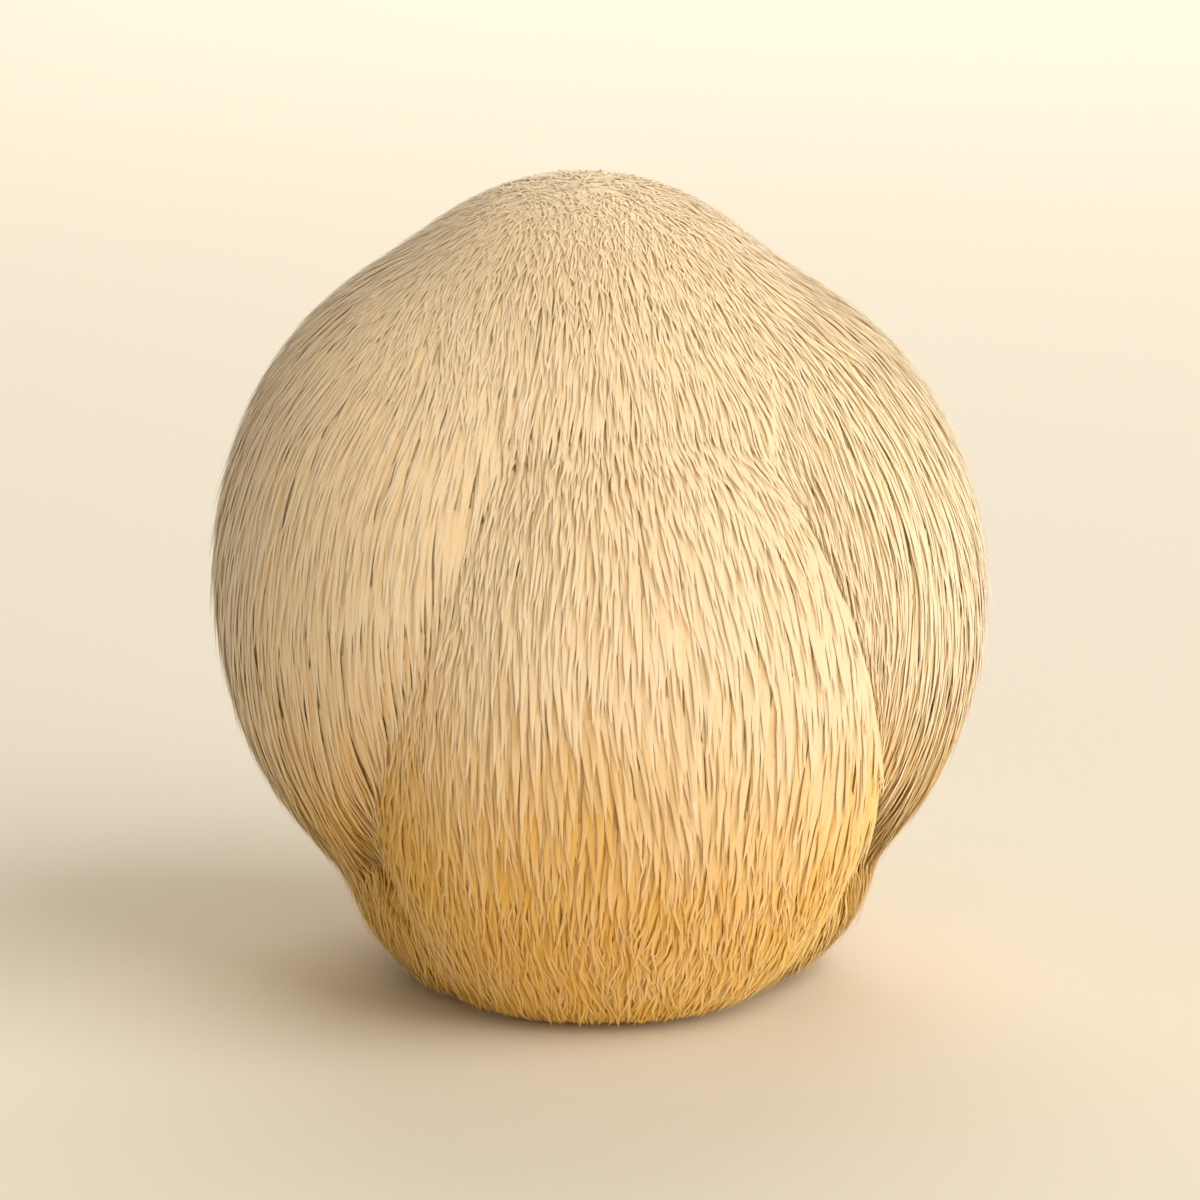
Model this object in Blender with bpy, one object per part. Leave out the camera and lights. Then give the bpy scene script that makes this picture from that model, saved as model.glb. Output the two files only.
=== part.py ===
"""Lion's mane mushroom, resting on the flat where it was cut from its log.

The whole mushroom grew as one piece, so it is one solid, fruiting_body. Rounded
lobes are placed as ellipsoids, fused into one skin, softened where they meet and
cut off flat underneath. The skin is the true outer form: it passes through the
tips of the hanging spines.

Units are metres, +Z is up and the front faces -Y. The origin is the middle of the
flat underside.
"""

import math
from dataclasses import dataclass

import bmesh
import bpy
from mathutils import Matrix, Vector

# Driving dimensions of the whole mushroom.
BODY_WIDTH = 0.130
BODY_DEPTH = 0.120
BODY_HEIGHT = 0.136

# The skin over the lobes: the spacing of its faces, and how the creases are eased.
LOBE_SUBDIVISIONS = 5
SKIN_SPACING = 0.0046
CREASE_SOFTENING = 0.5
CREASE_PASSES = 3

# Side of the block that cuts the underside flat, in body sizes.
CUTTER_SIZE = 1.5

# Cream flesh, matt with a faint waxy sheen (linear colour).
FLESH_COLOUR = (0.82, 0.66, 0.40, 1.0)
FLESH_ROUGHNESS = 0.6


@dataclass(frozen=True)
class Lobe:
    """One rounded swelling of the body.

    The middle and the half sizes are shares of the body's width, depth and height.
    The lean, in degrees, tips the top of the lobe towards +X.
    """

    name: str
    middle: tuple
    half: tuple
    lean: float = 0.0

    def placed(self):
        """The matrix that turns a ball of radius 1 into this lobe."""
        size = Vector((BODY_WIDTH, BODY_DEPTH, BODY_HEIGHT))
        middle = Vector(self.middle) * size
        half = Vector(self.half) * size
        turn = Matrix.Rotation(math.radians(self.lean), 4, "Y")
        return Matrix.Translation(middle) @ turn @ Matrix.Diagonal((*half, 1.0))


LOBES = (
    Lobe("crown", (-0.014, 0.021, 0.767), (0.279, 0.299, 0.235)),
    Lobe("left_mantle", (-0.170, 0.013, 0.505), (0.331, 0.416, 0.409), lean=4.0),
    Lobe("right_mantle", (0.152, 0.038, 0.486), (0.350, 0.399, 0.405)),
    Lobe("front_lobe", (0.043, -0.178, 0.398), (0.329, 0.324, 0.372), lean=3.0),
    Lobe("apron", (-0.037, -0.067, 0.172), (0.271, 0.275, 0.221)),
    Lobe("foot", (0.020, 0.026, 0.125), (0.333, 0.324, 0.176)),
    Lobe("back_left", (-0.139, 0.203, 0.413), (0.279, 0.299, 0.347)),
    Lobe("back_right", (0.133, 0.187, 0.457), (0.294, 0.307, 0.339)),
    Lobe("middle", (0.001, 0.021, 0.516), (0.388, 0.431, 0.427)),
)


def clear_scene():
    """Remove every object, so that the part starts from an empty scene."""
    for thing in list(bpy.data.objects):
        bpy.data.objects.remove(thing, do_unlink=True)


def flesh_material():
    """The mushroom's cream flesh."""
    material = bpy.data.materials.new("mushroom_flesh")
    material.use_nodes = True
    shader = material.node_tree.nodes["Principled BSDF"]
    shader.inputs["Base Color"].default_value = FLESH_COLOUR
    shader.inputs["Roughness"].default_value = FLESH_ROUGHNESS
    shader.inputs["Metallic"].default_value = 0.0
    return material


def link(name, shape):
    """Turn a bmesh into a named object in the scene."""
    mesh = bpy.data.meshes.new(name)
    shape.to_mesh(mesh)
    shape.free()
    thing = bpy.data.objects.new(name, mesh)
    bpy.context.scene.collection.objects.link(thing)
    return thing


def lobe_cluster(name):
    """All the lobes as overlapping balls in one object."""
    shape = bmesh.new()
    for lobe in LOBES:
        bmesh.ops.create_icosphere(
            shape, subdivisions=LOBE_SUBDIVISIONS, radius=1.0, matrix=lobe.placed()
        )
    return link(name, shape)


def fuse(thing):
    """Wrap the overlapping lobes in one closed skin, and soften the creases between them."""
    skin = thing.modifiers.new("fused_skin", "REMESH")
    skin.mode = "VOXEL"
    skin.voxel_size = SKIN_SPACING
    skin.use_smooth_shade = True
    soften = thing.modifiers.new("soft_creases", "SMOOTH")
    soften.factor = CREASE_SOFTENING
    soften.iterations = CREASE_PASSES


def ground_cutter():
    """The block below the ground, whose top face leaves the flat underside."""
    side = CUTTER_SIZE * max(BODY_WIDTH, BODY_DEPTH)
    shape = bmesh.new()
    bmesh.ops.create_cube(
        shape,
        size=side,
        matrix=Matrix.Translation((0.0, 0.0, -side / 2)),
    )
    cutter = link("ground_cutter", shape)
    cutter.hide_render = True
    cutter.display_type = "WIRE"
    return cutter


def cut_flat(thing, cutter):
    """Take away what lies below the ground."""
    cut = thing.modifiers.new("flat_underside", "BOOLEAN")
    cut.operation = "DIFFERENCE"
    cut.solver = "EXACT"
    cut.object = cutter


def build():
    """Model the mushroom."""
    clear_scene()
    body = lobe_cluster("fruiting_body")
    body.data.materials.append(flesh_material())
    body.data.shade_smooth()
    fuse(body)
    cut_flat(body, ground_cutter())


build()
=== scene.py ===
"""Looks of a lion's mane mushroom: soft flesh under a coat of hanging spines.

The mushroom is a cluster of rounded lobes grown as one. Its outer form is worked
out as one smooth distance from those lobes, sized from the frame's box. The flesh
is a skin set in below that form, and every spine is a tapering strand that starts
in the flesh, turns downhill and lies in the coat like a shingle, its tip free.

Metres, +Z up, the front faces -Y.
"""

import logging
import math
from dataclasses import dataclass
from enum import Enum

import bpy
import numpy as np
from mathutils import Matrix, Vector


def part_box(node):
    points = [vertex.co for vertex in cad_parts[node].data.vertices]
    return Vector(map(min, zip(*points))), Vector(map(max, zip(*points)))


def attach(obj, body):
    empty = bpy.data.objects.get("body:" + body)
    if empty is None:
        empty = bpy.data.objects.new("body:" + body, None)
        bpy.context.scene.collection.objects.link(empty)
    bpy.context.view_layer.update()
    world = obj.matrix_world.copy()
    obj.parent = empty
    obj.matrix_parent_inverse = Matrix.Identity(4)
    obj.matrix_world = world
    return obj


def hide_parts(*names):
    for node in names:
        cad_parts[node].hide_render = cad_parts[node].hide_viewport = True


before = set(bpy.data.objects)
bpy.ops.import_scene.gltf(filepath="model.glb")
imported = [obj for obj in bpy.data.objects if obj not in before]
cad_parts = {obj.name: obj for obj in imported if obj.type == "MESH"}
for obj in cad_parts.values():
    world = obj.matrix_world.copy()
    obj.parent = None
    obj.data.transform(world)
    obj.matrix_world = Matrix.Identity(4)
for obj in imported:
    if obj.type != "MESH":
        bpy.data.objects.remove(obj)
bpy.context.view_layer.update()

MM = 0.001
TINY = 1e-12
BODY_NODE = "fruiting_body"
STRAND_MAP = "OFBake"
FACING_UP, FACING_SIDEWAYS = 0.97, 0.35
LOG = logging.getLogger("mushroom")

Array = np.ndarray


# ---------------------------------------------------------------- small helpers


def linear(hex_colour: str) -> tuple[float, float, float, float]:
    """Turn an sRGB colour into the linear colour a shader takes.

    Args:
        hex_colour: the colour as "#RRGGBB".

    Returns:
        Linear red, green and blue, and an alpha of 1.
    """
    levels = [int(hex_colour[i:i + 2], 16) / 255 for i in (1, 3, 5)]
    return (*[v / 12.92 if v <= 0.04045 else ((v + 0.055) / 1.055) ** 2.4 for v in levels], 1.0)


def add_node(tree: bpy.types.NodeTree, kind: str, settings: dict | None = None,
             links: dict | None = None) -> bpy.types.Node:
    """Add one node with its settings and its incoming links.

    Args:
        tree: the node tree to add to.
        kind: the node's type name.
        settings: a property or an input by name, and its value; "stops" fills a colour
            ramp with (place, colour) pairs.
        links: an input by name or number, and the output that feeds it.

    Returns:
        The new node.
    """
    node = tree.nodes.new(kind)
    for name, value in (settings or {}).items():
        if name == "stops":
            stops = node.color_ramp.elements
            while len(stops) < len(value):
                stops.new(1.0)
            for stop, (place, colour) in zip(stops, value):
                stop.position = place
                stop.color = linear(colour)
        elif isinstance(name, str) and hasattr(node, name):
            setattr(node, name, value)
        else:
            node.inputs[name].default_value = value
    for name, source in (links or {}).items():
        tree.links.new(source, node.inputs[name])
    return node


def unit(vectors: Array) -> Array:
    """Scale each vector to length 1."""
    return vectors / np.maximum(np.linalg.norm(vectors, axis=-1, keepdims=True), TINY)


def smooth_step(values: Array, start: float, end: float) -> Array:
    """Rise from 0 at start to 1 at end along 3x^2 - 2x^3; end may lie below start."""
    x = np.clip((values - start) / (end - start), 0.0, 1.0)
    return x * x * (3.0 - 2.0 * x)


def steepness(normals: Array) -> Array:
    """How steep the skin is, from 0 where it faces up to 1 on walls and undersides."""
    return smooth_step(normals[:, 2], FACING_UP, FACING_SIDEWAYS)


class Drift:
    """A smooth random field of vectors: a sum of sine waves in random directions."""

    WAVES = 14
    LENGTH_SPREAD = (0.7, 1.5)

    def __init__(self, wavelength: float, seed: int) -> None:
        """Draw the waves.

        Args:
            wavelength: the mean length of a wave, in metres.
            seed: seed of the draw.
        """
        rng = np.random.default_rng(seed)
        length = wavelength * rng.uniform(*self.LENGTH_SPREAD, self.WAVES)
        self.waves = unit(rng.normal(size=(self.WAVES, 3))) * (2 * math.pi / length)[:, None]
        self.phases = rng.uniform(0, 2 * math.pi, (3, self.WAVES))

    def at(self, points: Array) -> Array:
        """The field at some points.

        Args:
            points: (n, 3) places.

        Returns:
            (n, 3) vectors, each part about 1 in spread.
        """
        turns = points @ self.waves.T
        parts = [np.sin(turns + phase).sum(1) for phase in self.phases]
        return np.stack(parts, 1) * math.sqrt(2.0 / self.WAVES)


def read_along(values: Array, places: Array) -> Array:
    """Read evenly spaced values at places between them, by straight lines.

    Args:
        values: (n, m) or (n, m, 3) values, m of them along each of n spines.
        places: (k,) places for all spines, or (n, k), from 0 to m - 1.

    Returns:
        (n, k) or (n, k, 3) values.
    """
    places = np.atleast_2d(places)
    low = np.minimum(places.astype(int), values.shape[1] - 2)
    part = (places - low).reshape(places.shape + (1,) * (values.ndim - 2))
    rows = np.arange(len(values))[:, None]
    return values[rows, low] * (1 - part) + values[rows, low + 1] * part


def closed_grid(rows: int, columns: int) -> tuple[Array, Array]:
    """Faces over rings of vertices, closed to a single vertex beyond each end.

    Vertex c of ring r has the number columns r + c. The vertex before the first ring and
    the one after the last ring come after all of them.

    Args:
        rows: how many rings there are.
        columns: how many vertices a ring has.

    Returns:
        The vertex numbers of all faces, one face after the other, and where each starts.
    """
    spot = np.arange(rows * columns).reshape(rows, columns)
    beside = np.roll(spot, -1, axis=1)
    quads = np.stack([spot[:-1], spot[1:], beside[1:], beside[:-1]], -1).reshape(-1, 4)
    threes = np.concatenate([
        np.stack([np.full(columns, spot.size), spot[0], beside[0]], -1),
        np.stack([np.full(columns, spot.size + 1), beside[-1], spot[-1]], -1),
    ])
    loops = np.concatenate([quads.ravel(), threes.ravel()])
    starts = np.concatenate([np.arange(len(quads)) * 4, quads.size + np.arange(len(threes)) * 3])
    return loops, starts


def put_mesh(name: str, points: Array, loops: Array, starts: Array,
             strand_uv: Array | None = None,
             corner_normals: Array | None = None) -> bpy.types.Object:
    """Make a smooth-shaded object from whole arrays.

    Args:
        name: the object's name.
        points: (n, 3) places.
        loops: the vertex numbers of all faces, one face after the other.
        starts: where each face starts in loops.
        strand_uv: (n, 2) place of each vertex on the strand map, or None.
        corner_normals: the shading normal of each entry of loops, zero for the usual one.

    Returns:
        The object, linked to the scene.
    """
    mesh = bpy.data.meshes.new(name)
    mesh.vertices.add(len(points))
    mesh.loops.add(len(loops))
    mesh.polygons.add(len(starts))
    mesh.vertices.foreach_set("co", points.astype(np.float32).ravel())
    mesh.loops.foreach_set("vertex_index", loops.astype(np.int32))
    mesh.polygons.foreach_set("loop_start", starts.astype(np.int32))
    if strand_uv is not None:
        layer = mesh.uv_layers.new(name=STRAND_MAP)
        layer.uv.foreach_set("vector", strand_uv[loops].astype(np.float32).ravel())
    mesh.update(calc_edges=True)
    mesh.validate()
    mesh.shade_smooth()
    if corner_normals is not None:
        mesh.normals_split_custom_set(corner_normals.astype(np.float32))
    thing = bpy.data.objects.new(name, mesh)
    bpy.context.scene.collection.objects.link(thing)
    return thing


# ---------------------------------------------------------------- the outer form


@dataclass(frozen=True)
class Lobe:
    """One rounded swelling: middle and half sizes as shares of the body's box, lean in degrees.

    Stoutness scales the width of the spines that it bears. Whorl says how far they follow
    the lobe's own slope, from 0 for the whole body's slope to 1.
    """

    name: str
    middle: tuple[float, float, float]
    half: tuple[float, float, float]
    lean: float = 0.0
    stoutness: float = 1.0
    whorl: float = 0.15


LOBES = (
    Lobe("crown", (-0.021, 0.021, 0.775), (0.268, 0.299, 0.226)),
    Lobe("left_mantle", (-0.170, 0.013, 0.505), (0.331, 0.416, 0.409), lean=1.4),
    Lobe("right_mantle", (0.152, 0.038, 0.486), (0.350, 0.399, 0.405), lean=-4.8),
    Lobe("front_lobe", (0.020, -0.203, 0.386), (0.344, 0.286, 0.405),
         lean=-1.2, stoutness=1.22, whorl=0.75),
    Lobe("front_side", (-0.063, -0.145, 0.327), (0.177, 0.238, 0.372),
         lean=0.9, stoutness=1.22, whorl=0.2),
    Lobe("apron", (-0.037, -0.067, 0.172), (0.280, 0.228, 0.221)),
    Lobe("foot", (0.020, 0.026, 0.125), (0.333, 0.324, 0.176)),
    Lobe("back_left", (-0.139, 0.203, 0.413), (0.279, 0.299, 0.347), whorl=0.6),
    Lobe("back_right", (0.133, 0.187, 0.457), (0.294, 0.307, 0.339), whorl=0.6),
    Lobe("middle", (0.001, 0.021, 0.516), (0.388, 0.431, 0.427)),
)


@dataclass(frozen=True)
class Ledge:
    """A step between two lobes: the lower one starts sunk by depth beside the upper one.

    The sinking fades over reach on the lower lobe, and sooner on the upper one.
    """

    over: str
    under: str
    depth: float
    reach: float


LEDGES = (
    Ledge("left_mantle", "front_lobe", 2.6 * MM, 6.5 * MM),
    Ledge("left_mantle", "front_side", 2.6 * MM, 6.5 * MM),
    Ledge("middle", "front_side", 1.5 * MM, 3.0 * MM),
    Ledge("front_lobe", "right_mantle", 2.8 * MM, 5.0 * MM),
    Ledge("crown", "front_lobe", 1.5 * MM, 3.0 * MM),
    Ledge("middle", "front_lobe", 1.5 * MM, 3.0 * MM),
    Ledge("left_mantle", "right_mantle", 1.2 * MM, 2.0 * MM),
    Ledge("left_mantle", "back_left", 2.2 * MM, 4.0 * MM),
    Ledge("back_right", "back_left", 2.8 * MM, 5.0 * MM),
    Ledge("back_right", "right_mantle", 2.5 * MM, 5.0 * MM),
    Ledge("middle", "back_left", 1.4 * MM, 3.0 * MM),
    Ledge("middle", "back_right", 1.4 * MM, 3.0 * MM),
)


class BodyForm:
    """The mushroom's outer form: the skin through the tips of its spines.

    Each lobe is an ellipsoid. With h the length of a point's offset in half sizes, its
    distance from the lobe is about (h - 1) h over the length of that offset divided once
    more by the half sizes. The lobes fuse by a soft minimum, -k log(sum exp(-d / k)). A
    ledge adds a depth that falls as exp(-(s / reach)^2), where s is how much nearer the
    nearest lobe is than the one across the ledge. Where ledges meet, the deepest counts.
    """

    CREASE = 2.6 * MM
    SOFT_CREASE = 9.0 * MM
    YOUNG_REACH = 5.0 * MM
    UPPER_FADE = 3.0
    HEART_HEIGHT = 0.45
    PROBE = 0.4 * MM
    STEPS_IN = 22
    STEP_SHARE = 0.8

    def __init__(self, low: Vector, high: Vector) -> None:
        """Size the lobes from the body's box.

        Args:
            low: the box's lowest corner.
            high: its highest corner.
        """
        low, high = np.array(low), np.array(high)
        size = high - low
        self.base = np.array([*(low + high)[:2] / 2, low[2]])
        self.size = size
        self.middles = self.base + np.array([lobe.middle for lobe in LOBES]) * size
        self.halves = np.array([lobe.half for lobe in LOBES]) * size
        lean = np.radians([lobe.lean for lobe in LOBES])
        self.cos, self.sin = np.cos(lean), np.sin(lean)
        names = [lobe.name for lobe in LOBES]
        self.ledge_depth = np.zeros((len(names), len(names)))
        self.ledge_reach = np.full((len(names), len(names)), MM)
        self.is_over = np.zeros((len(names), len(names)), bool)
        for ledge in LEDGES:
            over, under = names.index(ledge.over), names.index(ledge.under)
            self.ledge_depth[[over, under], [under, over]] = ledge.depth
            self.ledge_reach[under, over] = ledge.reach
            self.ledge_reach[over, under] = ledge.reach / self.UPPER_FADE
            self.is_over[over, under] = True
        self.heart = self.base + np.array([0.0, 0.0, self.HEART_HEIGHT]) * size

    def lobe_distances(self, points: Array) -> Array:
        """Distance of points from every lobe's ellipsoid.

        Args:
            points: (n, 3) places.

        Returns:
            (n, lobes) distances in metres, negative inside.
        """
        away = points[:, None, :] - self.middles
        x = away[..., 0] * self.cos - away[..., 2] * self.sin
        z = away[..., 0] * self.sin + away[..., 2] * self.cos
        scaled = np.stack([x, away[..., 1], z], -1) / self.halves
        reach = np.linalg.norm(scaled, axis=2)
        slope = np.linalg.norm(scaled / self.halves, axis=2)
        return (reach - 1.0) * reach / np.maximum(slope, TINY)

    def distance(self, points: Array, crease: float = CREASE) -> Array:
        """Distance of points from the fused form.

        Args:
            points: (n, 3) places.
            crease: how far the lobes blend; a softer one than usual leaves out the ledges.

        Returns:
            (n,) distances in metres, negative inside.
        """
        apart = self.lobe_distances(points)
        least = apart.min(1)
        fused = least - crease * np.log(np.exp((least[:, None] - apart) / crease).sum(1))
        if crease > self.CREASE:
            return fused
        near = apart.argmin(1)
        between = (apart - least[:, None]) / self.ledge_reach[near]
        return fused + (self.ledge_depth[near] * np.exp(-between * between)).max(1)

    def outward(self, points: Array, crease: float = CREASE) -> Array:
        """The outward direction at some points, from distances at four corners round each.

        Args:
            points: (n, 3) places.
            crease: how far the lobes blend.

        Returns:
            (n, 3) unit vectors.
        """
        corners = np.array([[1, -1, -1], [-1, -1, 1], [-1, 1, -1], [1, 1, 1]], float)
        pulls = [c * self.distance(points + c * self.PROBE, crease)[:, None] for c in corners]
        return unit(sum(pulls))

    def young_edge(self, points: Array) -> tuple[Array, Array]:
        """Which lobe each point lies on, and how near it is to an upper lobe's ledge.

        Args:
            points: (n, 3) places on the skin.

        Returns:
            The number of each point's lobe, and a nearness from 0 to 1 that falls as
            exp(-(s / YOUNG_REACH)^2) on the lower side of a ledge.
        """
        apart = self.lobe_distances(points)
        near = apart.argmin(1)
        between = (apart - apart.min(1)[:, None]) / self.YOUNG_REACH
        return near, (self.is_over.T[near] * np.exp(-between * between)).max(1)

    def lobe_outward(self, points: Array, lobe: Array) -> Array:
        """The outward direction of one lobe's own ellipsoid at each point.

        It is the offset from the lobe's middle over the half sizes squared.

        Args:
            points: (n, 3) places.
            lobe: (n,) the number of each point's lobe.

        Returns:
            (n, 3) unit vectors.
        """
        away = points - self.middles[lobe]
        cos, sin = self.cos[lobe], self.sin[lobe]
        x = (away[:, 0] * cos - away[:, 2] * sin) / self.halves[lobe, 0] ** 2
        y = away[:, 1] / self.halves[lobe, 1] ** 2
        z = (away[:, 0] * sin + away[:, 2] * cos) / self.halves[lobe, 2] ** 2
        return unit(np.stack([x * cos + z * sin, y, z * cos - x * sin], 1))

    def skin_point(self, directions: Array, depth: float | Array = 0.0) -> Array:
        """Where rays from the heart of the body meet the form set in by depth.

        Args:
            directions: (n, 3) unit directions.
            depth: how far inside the form, in metres, one for all or one for each.

        Returns:
            (n, 3) points, found by stepping back along each ray by its distance.
        """
        reach = np.full(len(directions), self.size.max())
        for _ in range(self.STEPS_IN):
            gap = self.distance(self.heart + directions * reach[:, None]) + depth
            reach -= self.STEP_SHARE * gap
        return self.heart + directions * reach[:, None]

    def height(self, points: Array) -> Array:
        """Height of (..., 3) points as a share of the body's."""
        return (points[..., 2] - self.base[2]) / self.size[2]


# ---------------------------------------------------------------- finishes


@dataclass(frozen=True)
class SpineTissue:
    """Spines of fungus tissue, grown hanging.

    Soft dull strands that scatter light widely, like felt: cream to the eye, a little
    warmer at the root than at the free end, painted shade deep in the coat. The strand map
    runs from root to tip one way, and the other way from pale strands to golden ones to
    brown bruised ones; the golden is partly age and partly painted warm bounce light low
    down, and painted shade under the ledges.
    """

    # Root to tip: slightly warmer at the root, painted shade deep in the coat.
    root: str = "#FAEFD6"
    shaft: str = "#FBF3E0"
    tip: str = "#FCF7EC"
    pale: str = "#FFFBF4"
    cream: str = "#FCF4E6"
    golden: str = "#F4D372"
    bruised: str = "#C0A078"
    root_end: float = 0.3
    shaft_place: float = 0.62
    cream_place: float = 0.35
    golden_place: float = 0.85
    roughness: float = 0.6
    refraction: float = 1.4
    softness: float = 1.0

    def material(self) -> bpy.types.Material:
        """Build the material, which reads only the strand map.

        Returns:
            The material: the colour along a strand times the colour for its warmth.
        """
        made = bpy.data.materials.new("lions_mane_spine_tissue")
        made.use_nodes = True
        tree = made.node_tree
        shader = tree.nodes["Principled BSDF"]
        place = add_node(tree, "ShaderNodeUVMap", {"uv_map": STRAND_MAP})
        split = add_node(tree, "ShaderNodeSeparateXYZ", links={0: place.outputs[0]})
        # Along the strand: warmer root, painted shade deep in the coat.
        along = add_node(tree, "ShaderNodeValToRGB", {"stops": (
            (0.0, self.root), (self.root_end, self.root), (self.shaft_place, self.shaft),
            (1.0, self.tip),
        )}, {0: split.outputs["X"]})
        # Pale to golden to bruised: golden is partly age, partly painted warm bounce light and
        # painted shade under ledges.
        warmth = add_node(tree, "ShaderNodeValToRGB", {"stops": (
            (0.0, self.pale), (self.cream_place, self.cream), (self.golden_place, self.golden),
            (1.0, self.bruised),
        )}, {0: split.outputs["Y"]})
        colour = add_node(tree, "ShaderNodeMix", {
            "data_type": "RGBA", "blend_type": "MULTIPLY", 0: 1.0,
        }, {6: along.outputs[0], 7: warmth.outputs[0]})
        tree.links.new(colour.outputs[2], shader.inputs["Base Color"])
        shader.inputs["Roughness"].default_value = self.roughness
        shader.inputs["IOR"].default_value = self.refraction
        shader.inputs["Diffuse Roughness"].default_value = self.softness
        return made


@dataclass(frozen=True)
class SpongyFlesh:
    """The flesh that the spines grow from: honey-coloured low down, pale where it was cut.

    Soft tissue with a fine open pore that shows as dull dimples, so it has no shine at all.
    """

    shaded: str = "#FAEFD6"
    # Honey low down: partly age, partly painted warm bounce light.
    aged_and_bounce_lit: str = "#E3B860"
    cut: str = "#EADBB8"
    pore: str = "#CDB383"
    roughness: float = 0.85
    pore_size: float = 1.4 * MM
    pore_detail: float = 4.0
    pore_contrast: float = 0.6
    pore_relief: float = 0.6 * MM
    pore_strength: float = 0.5
    pore_edge: tuple[float, float] = (0.38, 0.58)
    cut_edge: tuple[float, float] = (0.2 * MM, 1.5 * MM)
    aged_and_bounce_height: float = 85.0 * MM
    aged_and_bounce_share: float = 0.3

    def material(self) -> bpy.types.Material:
        """Build the material; the cut is told by height above the ground.

        Returns:
            The material: pored cut flesh at the ground, then honey-coloured to pale with height;
                the honey low down is partly age and partly painted warm bounce light.
        """
        made = bpy.data.materials.new("lions_mane_cut_flesh")
        made.use_nodes = True
        tree = made.node_tree
        shader = tree.nodes["Principled BSDF"]
        place = add_node(tree, "ShaderNodeTexCoord").outputs["Object"]
        pores = add_node(tree, "ShaderNodeTexNoise", {
            "Scale": 1.0 / self.pore_size, "Detail": self.pore_detail,
            "Roughness": self.pore_contrast,
        }, {"Vector": place})
        cut = add_node(tree, "ShaderNodeValToRGB", {"stops": (
            (self.pore_edge[0], self.pore), (self.pore_edge[1], self.cut),
        )}, {0: pores.outputs["Fac"]})
        split = add_node(tree, "ShaderNodeSeparateXYZ", links={0: place})
        height = add_node(tree, "ShaderNodeMapRange", {
            "From Min": self.cut_edge[0], "From Max": self.cut_edge[1],
        }, {"Value": split.outputs["Z"]})
        # Honey low down to pale higher up: partly age, partly painted warm bounce light.
        rise = add_node(tree, "ShaderNodeMapRange", {"From Max": self.aged_and_bounce_height},
                        {"Value": split.outputs["Z"]})
        flank = add_node(tree, "ShaderNodeValToRGB", {"stops": (
            (self.aged_and_bounce_share, self.aged_and_bounce_lit), (1.0, self.shaded),
        )}, {0: rise.outputs[0]})
        colour = add_node(tree, "ShaderNodeMix", {"data_type": "RGBA"}, {
            0: height.outputs[0], 6: cut.outputs[0], 7: flank.outputs[0],
        })
        bump = add_node(tree, "ShaderNodeBump", {
            "Strength": self.pore_strength, "Distance": self.pore_relief,
        }, {"Height": pores.outputs["Fac"]})
        tree.links.new(colour.outputs[2], shader.inputs["Base Color"])
        tree.links.new(bump.outputs[0], shader.inputs["Normal"])
        shader.inputs["Roughness"].default_value = self.roughness
        return made


@dataclass(frozen=True)
class PaleBoard:
    """Matt painted board under the mushroom: no shine, so its shadow stays soft."""

    colour: str = "#ECE6D9"
    roughness: float = 0.9

    def material(self) -> bpy.types.Material:
        """Build the material.

        Returns:
            The material, one even colour.
        """
        made = bpy.data.materials.new("matt_painted_board")
        made.use_nodes = True
        shader = made.node_tree.nodes["Principled BSDF"]
        shader.inputs["Base Color"].default_value = linear(self.colour)
        shader.inputs["Roughness"].default_value = self.roughness
        return made


# ---------------------------------------------------------------- the mushroom


@dataclass
class Flesh:
    """The flesh under the spines: the outer form set in by a little less than the coat.

    It is set in by crease_depth more in furrows, where the form's sharp and soft outward
    directions part by crease_turn, one minus the cosine between them.
    """

    form: BodyForm
    finish: SpongyFlesh
    crest_depth: float = 0.55 * MM
    side_depth: float = 0.9 * MM
    crease_depth: float = 1.2 * MM
    crease_turn: float = 0.12
    around: int = 180
    down: int = 110

    def build(self) -> bpy.types.Object:
        """Make the flesh: rays from the heart over a grid of turn and tilt, cut off at the ground.

        Returns:
            The closed flesh object.
        """
        turn = np.arange(self.around) * (2 * math.pi / self.around)
        tilt = np.linspace(0.0, math.pi, self.down + 2)[1:-1]
        turn, tilt = np.meshgrid(turn, tilt)
        flat = np.sin(tilt)
        rays = np.stack([flat * np.cos(turn), flat * np.sin(turn), np.cos(tilt)], -1)
        rays = np.concatenate([rays.reshape(-1, 3), [[0.0, 0.0, 1.0], [0.0, 0.0, -1.0]]])
        skin = self.form.skin_point(rays)
        smooth = self.form.outward(skin, BodyForm.SOFT_CREASE)
        depth = self.crest_depth + (self.side_depth - self.crest_depth) * steepness(smooth)
        turned = 1.0 - (self.form.outward(skin) * smooth).sum(1)
        depth += self.crease_depth * np.clip(turned / self.crease_turn, 0.0, 1.0)
        points = self.form.skin_point(rays, depth)
        ground, heart = self.form.base[2], self.form.heart
        drop = np.minimum(points[:, 2] - heart[2], -TINY)
        share = np.minimum((ground - heart[2]) / drop, 1.0)
        points = heart + (points - heart) * np.where(drop < ground - heart[2], share, 1.0)[:, None]
        thing = put_mesh("flesh", points, *closed_grid(self.down, self.around))
        thing.data.materials.append(self.finish.material())
        return thing


class Coat(Enum):
    """The pieces that the coat of spines is made in, and the lobes each one grows on."""

    CROWN = ("spines_crown", ("crown",))
    LEFT = ("spines_left_mantle", ("left_mantle",))
    RIGHT = ("spines_right_mantle", ("right_mantle",))
    FRONT = ("spines_front_lobe", ("front_lobe", "front_side"))
    FOOT = ("spines_foot", ("apron", "foot"))
    BACK = ("spines_back", ("back_left", "back_right"))
    SHOULDER = ("spines_shoulder", ("middle",))


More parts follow.
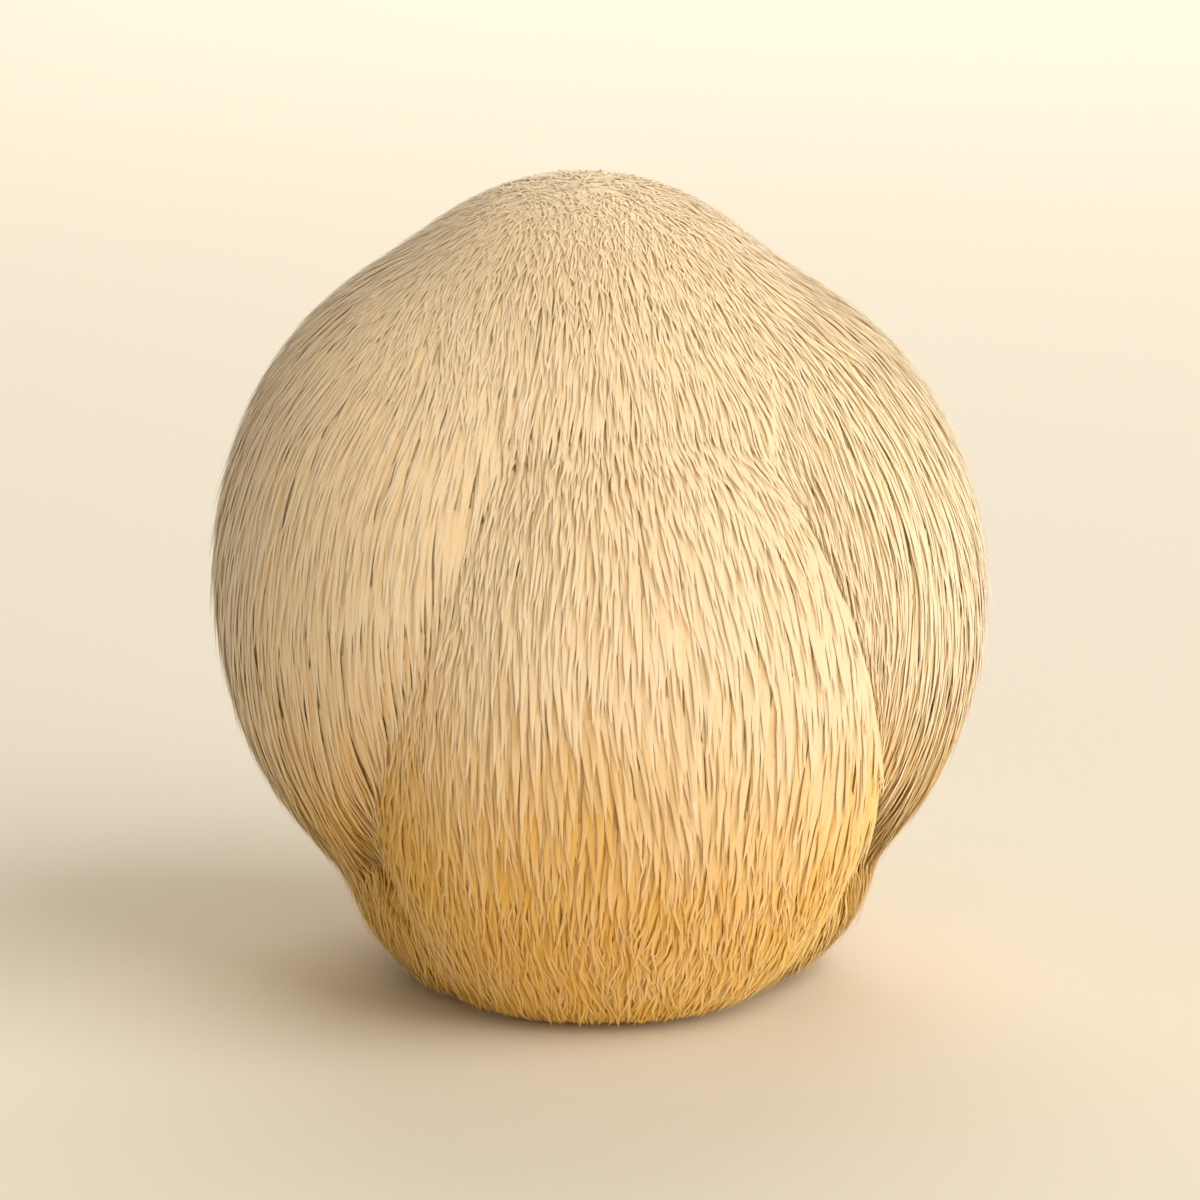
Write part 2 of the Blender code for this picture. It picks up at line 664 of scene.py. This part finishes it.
@dataclass(frozen=True)
class SpineSize:
    """Sizes of spines: on the crest, which faces up, on the sides, and near foot and ledges."""

    crest_length: float = 5.0 * MM
    side_length: float = 20.0 * MM
    crest_width: float = 0.42 * MM
    side_width: float = 1.2 * MM
    crest_depth: float = 0.9 * MM
    side_depth: float = 1.1 * MM
    length_spread: tuple[float, float] = (0.72, 1.2)
    width_spread: tuple[float, float] = (0.8, 1.12)
    least_length: float = 1.5 * MM
    foot_zone: tuple[float, float] = (0.42, 0.12)
    foot_shortening: float = 0.42
    foot_thinning: float = 0.45
    young_shortening: float = 0.6
    young_thinning: float = 0.4


@dataclass(frozen=True)
class SpineGrowth:
    """How spines turn downhill, how deep they lie in the coat, and how far they overhang.

    The comb and the scatter bend downhill itself, one in broad sweeps and one by chance
    on the crest. A free spine is eased outwards at push of its gap and inwards at pull.
    """

    steps: int = 18
    turning: float = 0.5
    comb_wavelength: float = 26.0 * MM
    comb: float = 0.05
    scatter: float = 0.16
    cover: float = 0.08
    rooting_power: float = 1.5
    stray_lift: float = 1.3 * MM
    stray_power: float = 4.0
    crest_stray: float = 0.3
    release: float = 2.0 * MM
    hang_height: float = 0.5 * MM
    hang_hold: float = 0.8
    push: float = 0.8
    pull: float = 0.35
    overhang: tuple[float, float] = (1.0 * MM, 5.0 * MM)
    tuck: float = 0.3 * MM


@dataclass(frozen=True)
class SpineLocks:
    """How tips gather in loose locks, and how each spine waves by itself."""

    wavelength: float = 6.0 * MM
    sway: float = 0.7 * MM
    own_sway: float = 0.25 * MM
    own_wave: float = 0.4 * MM
    wave_turns: tuple[float, float] = (0.7, 1.5)
    calm: float = 0.5
    unruly: float = 0.9
    unruly_zone: tuple[float, float] = (0.42, 0.15)
    crest_share: float = 0.3
    ground_gap: float = 0.3 * MM
    ground_spread: float = 1.2 * MM


@dataclass(frozen=True)
class SpineColour:
    """Where spines are pale, golden or bruised; zones are shares of the body's height."""

    pale: float = 0.15
    # Gold low down is partly age and partly painted warm bounce light.
    gold: float = 0.7
    gold_zone: tuple[float, float] = (0.55, 0.14)
    most_gold: float = 0.84
    # Gold under the ledges of upper lobes is painted shade in the valleys.
    ledge_shade_gold: float = 0.16
    ledge_shade_zone: tuple[float, float] = (0.6, 0.4)
    patch_wavelength: float = 28.0 * MM
    patch: float = 0.05
    spread: float = 0.06
    tip_fading: float = 0.22
    bruise_zone: tuple[float, float] = (0.05, 0.01)
    bruise_patch: float = 0.015


@dataclass(frozen=True)
class SpineSection:
    """The cross-section of a spine and the point that it ends in.

    Flatness is the keel's depth over half the width. Roundness and body_shading set how
    far the flat side's shading leans out at its edges and towards the body's own.
    """

    flatness: float = 0.09
    roundness: float = 0.2
    body_shading: float = 0.5
    point_length: float = 10.0 * MM
    point_share: float = 0.65
    point_power: float = 0.8


@dataclass
class SpineCoat:
    """The hanging spines. Short and fine on tops that face up, long and stout on the sides.

    Layers is how many spines lie over each other. Skin that curves through a lattice of
    cells crosses CELL_CROSSINGS of them for each one's face area.
    """

    form: BodyForm
    finish: SpineTissue
    size: SpineSize = SpineSize()
    growth: SpineGrowth = SpineGrowth()
    locks: SpineLocks = SpineLocks()
    colour: SpineColour = SpineColour()
    section: SpineSection = SpineSection()
    layers: float = 5.7
    lowest_root: float = 0.5 * MM
    candidates: int = 180000
    seed: int = 11

    CELL_CROSSINGS = 1.35
    CELL_SIZES_PER_DOUBLING = 6.0
    PROFILE = np.array([[1.0, 0.0], [-1.0, 0.0], [0.0, -1.0]])
    RING_SHARES = np.array([0.1, 0.4, 0.63, 0.82, 0.94])
    FUZZ_SHARES = np.array([0.1, 0.5, 0.82])
    MAP_MARGIN = 0.004
    MAP_LANE = 0.012

    def roots(self) -> dict[str, Array]:
        """Scatter the roots evenly, closer where spines are short and fine.

        Candidates lie on a golden-angle spiral over all directions. Space is divided into
        cells as wide as the local spacing, and each cell keeps the first candidate in it.

        Returns:
            Arrays by name: the outer point, outward direction, steepness, length, width,
            lobe and nearness to a ledge above, for each root.
        """
        rng = np.random.default_rng(self.seed)
        number = np.arange(self.candidates)
        rise = 1.0 - 2.0 * (number + 0.5) / self.candidates
        turn = number * math.pi * (3.0 - math.sqrt(5.0))
        flat = np.sqrt(1.0 - rise * rise)
        rays = np.stack([flat * np.cos(turn), flat * np.sin(turn), rise], 1)
        rays = rays[rng.permutation(self.candidates)]
        skin = self.form.skin_point(rays)
        skin = skin[skin[:, 2] > self.form.base[2] + self.lowest_root]
        normal = self.form.outward(skin, BodyForm.SOFT_CREASE)
        lobe, under_ledge = self.form.young_edge(skin)
        steep, size = steepness(normal), self.size
        low = smooth_step(self.form.height(skin), *size.foot_zone)
        length = size.crest_length + (size.side_length - size.crest_length) * steep
        length *= (1.0 - size.foot_shortening * low) * (1.0 - size.young_shortening * under_ledge)
        width = size.crest_width + (size.side_width - size.crest_width) * steep
        width *= np.array([lobe.stoutness for lobe in LOBES])[lobe]
        width *= (1.0 - size.foot_thinning * low) * (1.0 - size.young_thinning * under_ledge)
        spacing = np.sqrt(self.CELL_CROSSINGS * length * width / self.layers)
        level = np.round(self.CELL_SIZES_PER_DOUBLING * np.log2(spacing / MM)).astype(int)
        cell_width = 2.0 ** (level / self.CELL_SIZES_PER_DOUBLING) * MM
        cell = np.floor(skin / cell_width[:, None]).astype(int)
        keys = np.concatenate([cell, level[:, None]], 1)
        kept = np.sort(np.unique(keys, axis=0, return_index=True)[1])
        return {
            "skin": skin[kept], "normal": normal[kept], "steep": steep[kept],
            "length": length[kept], "width": width[kept], "lobe": lobe[kept],
            "under_ledge": under_ledge[kept],
        }

    def grow(self, start: dict[str, Array]) -> Array:
        """Grow every spine from its root, and note in start how much of it is kept.

        Each step leans the heading towards downhill, which is gravity laid along the skin,
        and moves ahead. Then the point is eased to the depth wanted there, which rises from
        the flesh at the root to just under the outer form at the tip. A spine that leaves
        a lobe over a furrow hangs free of the skin beyond it.

        Args:
            start: the roots, from roots().

        Returns:
            (n, steps + 1, 3) points along the spines.
        """
        rng = np.random.default_rng(self.seed + 1)
        size, growth = self.size, self.growth
        count = len(start["skin"])
        steep, own = start["steep"], start["lobe"]
        depth = size.crest_depth + (size.side_depth - size.crest_depth) * steep
        cover = depth * rng.uniform(0.0, growth.cover, count)
        stray = growth.stray_lift * rng.uniform(0.0, 1.0, count) ** growth.stray_power
        stray *= growth.crest_stray + (1.0 - growth.crest_stray) * steep
        start["length"] = start["length"] * rng.uniform(*size.length_spread, count)
        start["width"] = start["width"] * rng.uniform(*size.width_spread, count)
        stride = (start["length"] / growth.steps)[:, None]
        comb = Drift(growth.comb_wavelength, self.seed + 2).at(start["skin"]) * growth.comb
        comb = comb + rng.normal(0, growth.scatter, (count, 3)) * (1.0 - steep)[:, None]
        down = comb - np.array([0.0, 0.0, 1.0])
        whorl = np.array([lobe.whorl for lobe in LOBES])[own][:, None]
        here = start["skin"] - start["normal"] * depth[:, None]
        heading = start["normal"]
        past, fringe = np.zeros(count), np.zeros(count, bool)
        path = [here]
        for step in range(1, growth.steps + 1):
            normal = self.form.outward(here, BodyForm.SOFT_CREASE)
            normal = unit(normal * (1.0 - whorl) + self.form.lobe_outward(here, own) * whorl)
            downhill = unit(down - (down * normal).sum(1, keepdims=True) * normal)
            heading = unit(heading * (1.0 - growth.turning) + downhill * growth.turning)
            there = here + heading * stride
            left = 1.0 - step / growth.steps
            apart = self.form.lobe_distances(there)
            beyond = apart[np.arange(count), own] - apart.min(1)
            near = apart.argmin(1)
            over = self.form.is_over[own, near]
            free = over * smooth_step(beyond, 0.0, growth.release)
            past = past + (over | self.form.is_over[near, own]) * (beyond > 0)
            fringe |= over
            wanted = -(cover + (depth - cover) * left ** growth.rooting_power) * (1.0 - free)
            wanted = wanted + free * growth.hang_height + stray * (1.0 - left) ** 2
            gap = wanted - self.form.distance(there)
            ease = np.where(gap > 0, growth.push, growth.pull * (1.0 - growth.hang_hold * free))
            here = there + normal * (gap * ease)[:, None]
            path.append(here)
        allowed = np.where(fringe, rng.uniform(*growth.overhang, count), growth.tuck)
        start["kept"] = 1.0 - np.clip(past - allowed / stride[:, 0], 0, None) / growth.steps
        return np.stack(path, 1)

    def style(self, path: Array, start: dict[str, Array]) -> Array:
        """Gather the tips into loose locks, and give each spine a slight wave of its own.

        A point moves sideways by the sway times its share of the length squared, plus a
        sine wave times that share. Lengths in start are cut to what is kept.

        Args:
            path: points along the spines, from grow().
            start: the roots.

        Returns:
            The moved points, cut short where they would pass into the ground.
        """
        rng = np.random.default_rng(self.seed + 3)
        locks, steps, count = self.locks, self.growth.steps, len(path)
        share = np.linspace(0.0, 1.0, steps + 1)
        side = unit(np.cross(start["normal"], path[:, -1] - path[:, 0]))
        middle = path[:, steps // 2]
        height = self.form.height(middle)
        unruly = locks.calm + locks.unruly * smooth_step(height, *locks.unruly_zone)
        lock = (Drift(locks.wavelength, self.seed + 4).at(middle) * side).sum(1)
        sway = lock * locks.sway + rng.normal(0, locks.own_sway, count)
        phase = rng.uniform(0, 2 * math.pi, count)
        turns = rng.uniform(*locks.wave_turns, count)
        wave = np.sin(2 * math.pi * turns[:, None] * share + phase[:, None])
        wave -= np.sin(phase)[:, None]
        moved = sway[:, None] * share ** 2 + wave * share * locks.own_wave
        steep_share = locks.crest_share + (1.0 - locks.crest_share) * start["steep"]
        moved *= (unruly * steep_share)[:, None]
        path = path + moved[..., None] * side[:, None, :]
        clear = self.form.base[2] + locks.ground_gap + rng.uniform(0, locks.ground_spread, count)
        above = path[:, :, 2] > clear[:, None]
        reach = np.where(above.all(1), steps, above.argmin(1) - 1)
        kept = np.clip(np.minimum(reach / steps, start["kept"]), 0.0, 1.0)
        start["length"] = start["length"] * kept
        return read_along(path, kept[:, None] * share * steps)

    def warmth(self, path: Array, start: dict[str, Array]) -> Array:
        """How warm the colour is along each spine, its place on the strand map.

        It rises towards the foot, partly age and partly painted warm bounce light, and under
        ledges, which is painted shade; it differs by patches and by chance, fades with the square
        of the share of the length, and is most where the foot is bruised.

        Args:
            path: points along the spines.
            start: the roots.

        Returns:
            (n, steps + 1) warmth, from 0 for pale over most_gold to 1 for bruised.
        """
        rng = np.random.default_rng(self.seed + 5)
        skin, colour = start["skin"], self.colour
        patch = Drift(colour.patch_wavelength, self.seed + 6).at(skin)[:, 0]
        own = colour.patch * patch + rng.normal(0, colour.spread, len(skin))
        # Golden under the ledges of upper lobes: painted shade in the valleys.
        under_ledge = start["under_ledge"] * smooth_step(self.form.height(skin), *colour.ledge_shade_zone)
        own += colour.ledge_shade_gold * under_ledge
        height = self.form.height(path)
        # Golden low down: partly age, partly painted warm bounce light.
        warm = colour.pale + colour.gold * smooth_step(height, *colour.gold_zone) + own[:, None]
        bruised = smooth_step(height + colour.bruise_patch * patch[:, None], *colour.bruise_zone)
        faded = 1.0 - colour.tip_fading * np.linspace(0.0, 1.0, self.growth.steps + 1) ** 2
        return np.clip(warm * faded, 0.0, colour.most_gold) + (1.0 - colour.most_gold) * bruised

    def build_piece(self, name: str, path: Array, start: dict[str, Array],
                    warm: Array, ring_shares: Array) -> bpy.types.Object:
        """Carry the profile along each spine, closed to a point at root and tip.

        The profile is flat outside with a low keel beneath, so a spine lies against the
        body. Its width is full but for the last point_length, where it falls as the
        point_power of what is left.

        Args:
            name: the piece's name.
            path: (n, steps + 1, 3) points.
            start: the roots that belong to them.
            warm: (n, steps + 1) warmth of the colour.
            ring_shares: where the rings of the profile sit, as shares of the length.

        Returns:
            The object with all these spines joined.
        """
        section = self.section
        count, rings, sides = len(path), len(ring_shares), len(self.PROFILE)
        root, tip, each = rings * sides, rings * sides + 1, rings * sides + 2
        places = np.concatenate([[0.0], ring_shares, [1.0]]) * self.growth.steps
        line, hue = read_along(path, places), read_along(warm, places)
        ahead = unit(np.gradient(line, axis=1))
        out = start["normal"][:, None, :]
        across = unit(np.cross(ahead, out))
        lift = unit(np.cross(across, ahead))[:, 1:-1]
        across = across[:, 1:-1]

        point = np.minimum(section.point_length, section.point_share * start["length"])[:, None]
        left = (1.0 - ring_shares) * start["length"][:, None]
        half = start["width"][:, None] / 2 * np.clip(left / point, 0.0, 1.0) ** section.point_power
        corners = self.PROFILE * [1.0, section.flatness]
        ring = across[:, :, None, :] * corners[:, :1] + lift[:, :, None, :] * corners[:, 1:]
        rim = line[:, 1:-1, None, :] + ring * half[..., None, None]
        points = np.concatenate([rim.reshape(count, -1, 3), line[:, :1], line[:, -1:]], 1)

        loops, starts = closed_grid(rings, sides)
        lit = unit(lift * (1.0 - section.body_shading) + out * section.body_shading)
        soft = np.zeros((count, each, 3))
        soft[:, 0:root:sides] = unit(lit + across * section.roundness)
        soft[:, 1:root:sides] = unit(lit - across * section.roundness)
        soft[:, root], soft[:, tip] = lit[:, 0], lit[:, -1]
        outer = np.repeat(np.arange(len(starts)) % sides == 0, np.diff([*starts, len(loops)]))
        soft = soft[:, loops] * outer[:, None]

        fold = 1.0 - np.abs(np.linspace(-1.0, 1.0, sides + 1)[:-1])
        lane = np.concatenate([np.tile(fold, rings), [0.5, 0.5]])
        along = np.concatenate([np.repeat(ring_shares, sides), [0.0, 1.0]])
        hue = np.concatenate([np.repeat(hue[:, 1:-1], sides, axis=1), hue[:, :1], hue[:, -1:]], 1)
        inside = 1.0 - 2.0 * self.MAP_MARGIN
        uv = np.empty((count, each, 2))
        uv[..., 0] = self.MAP_MARGIN + inside * along
        uv[..., 1] = self.MAP_MARGIN + (inside - self.MAP_LANE) * hue + self.MAP_LANE * lane

        index = np.arange(count)[:, None]
        return put_mesh(name, points.reshape(-1, 3), (loops + index * each).ravel(),
                        (starts + index * len(loops)).ravel(), uv.reshape(-1, 2),
                        soft.reshape(-1, 3))

    def build(self) -> list[bpy.types.Object]:
        """Grow the whole coat and make its pieces.

        Returns:
            One object for each member of Coat.
        """
        start = self.roots()
        path = self.style(self.grow(start), start)
        warm = self.warmth(path, start)
        enough = start["length"] > self.size.least_length
        finish = self.finish.material()
        names = [lobe.name for lobe in LOBES]
        made = []
        for coat in Coat:
            title, lobes = coat.value
            mine = enough & np.isin(start["lobe"], [names.index(lobe) for lobe in lobes])
            chosen = {name: values[mine] for name, values in start.items()}
            shares = self.FUZZ_SHARES if coat is Coat.CROWN else self.RING_SHARES
            thing = self.build_piece(title, path[mine], chosen, warm[mine], shares)
            thing.data.materials.append(finish)
            made.append(thing)
        return made


# ---------------------------------------------------------------- the studio


@dataclass(frozen=True)
class Lamp:
    """A square soft light: its place in metres from the aim, its side, power and colour."""

    name: str
    place: tuple[float, float, float]
    side: float
    power: float
    colour: str


LAMPS = (
    # High on the right, broad: soft shadows to the left.
    Lamp("key", (2.46, -1.40, 2.06), 3.4, 112.0, "#FFFAF2"),
    # Behind and above: the far side isn't left dark.
    Lamp("back", (0.10, 1.90, 1.30), 1.8, 26.0, "#FFF6EA"),
    # Low in front, warm: light from below between the lowest spines.
    Lamp("low_fill", (0.25, -0.75, 0.10), 0.3, 1.0, "#FFCE80"),
)


@dataclass
class Studio:
    """A plain floor, soft lights and a long lens a little above the mushroom.

    The camera aims at aim_height of the body's height, from rise degrees up, and sees
    view_widths of the body's width across. Low and high are the corners of the body's box.
    """

    low: Vector
    high: Vector
    aim_height: float = 0.471
    view_widths: float = 1.552
    distance: float = 0.90
    rise: float = 12.0
    sensor_width: float = 36.0
    far_end: float = 20.0
    floor_size: float = 6.0
    floor_gap: float = 0.1 * MM
    board: PaleBoard = PaleBoard()
    sky_colour: str = "#FFF4E0"
    sky_strength: float = 0.35

    def aim(self) -> Vector:
        """The place that the camera and the lamps point at, on the body's middle line."""
        middle, size = (self.low + self.high) / 2, self.high - self.low
        return Vector((middle.x, middle.y, self.low.z + self.aim_height * size.z))

    def floor(self) -> bpy.types.Object:
        """A large flat board just under the mushroom.

        Returns:
            The floor.
        """
        half = self.floor_size / 2
        corners = np.array([[-half, -half], [half, -half], [half, half], [-half, half]])
        level = np.full((len(corners), 1), self.low.z - self.floor_gap)
        thing = put_mesh("floor", np.concatenate([corners, level], 1), np.arange(4), np.zeros(1))
        thing.data.materials.append(self.board.material())
        return thing

    def lamp(self, lamp: Lamp) -> bpy.types.Object:
        """Put up one lamp, turned towards the aim and unseen by the camera.

        Args:
            lamp: its place and light.

        Returns:
            The lamp's object.
        """
        light = bpy.data.lights.new(lamp.name, "AREA")
        light.shape = "SQUARE"
        light.size = lamp.side
        light.energy = lamp.power
        light.color = linear(lamp.colour)[:3]
        thing = bpy.data.objects.new(lamp.name, light)
        thing.location = self.aim() + Vector(lamp.place)
        thing.rotation_euler = Vector(lamp.place).to_track_quat("Z", "Y").to_euler()
        thing.visible_camera = False
        bpy.context.scene.collection.objects.link(thing)
        return thing

    def camera(self) -> bpy.types.Object:
        """Set up the camera, its lens as long as the view's width asks.

        Returns:
            The camera's object.
        """
        lens = bpy.data.cameras.new("camera")
        view_width = self.view_widths * (self.high - self.low).x
        lens.sensor_width = self.sensor_width
        lens.lens = self.sensor_width * self.distance / view_width
        lens.clip_end = self.far_end
        rise = math.radians(self.rise)
        back = Vector((0.0, -math.cos(rise), math.sin(rise)))
        thing = bpy.data.objects.new("camera", lens)
        thing.location = self.aim() + back * self.distance
        thing.rotation_euler = back.to_track_quat("Z", "Y").to_euler()
        bpy.context.scene.collection.objects.link(thing)
        bpy.context.scene.camera = thing
        return thing

    def world(self) -> None:
        """Even pale light from all round."""
        world = bpy.data.worlds.new("studio")
        world.use_nodes = True
        sky = world.node_tree.nodes["Background"]
        sky.inputs["Color"].default_value = linear(self.sky_colour)
        sky.inputs["Strength"].default_value = self.sky_strength
        bpy.context.scene.world = world

    def build(self) -> None:
        """Set up the floor, lights, camera and world."""
        self.floor()
        for lamp in LAMPS:
            self.lamp(lamp)
        self.camera()
        self.world()
        bpy.context.scene.view_settings.view_transform = "Standard"


def main() -> None:
    """Build the mushroom around the frame, then the studio, and note the sizes."""
    logging.basicConfig(level=logging.INFO, format="%(name)s: %(message)s")
    low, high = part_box(BODY_NODE)
    form = BodyForm(low, high)

    flesh = Flesh(form, SpongyFlesh()).build()
    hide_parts(BODY_NODE)
    pieces = [flesh, *SpineCoat(form, SpineTissue()).build()]
    for piece in pieces:
        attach(piece, "root")
        piece.data.calc_loop_triangles()
        LOG.info("%s: %d triangles", piece.name, len(piece.data.loop_triangles))

    Studio(low, high).build()


if __name__ == "__main__":
    main()
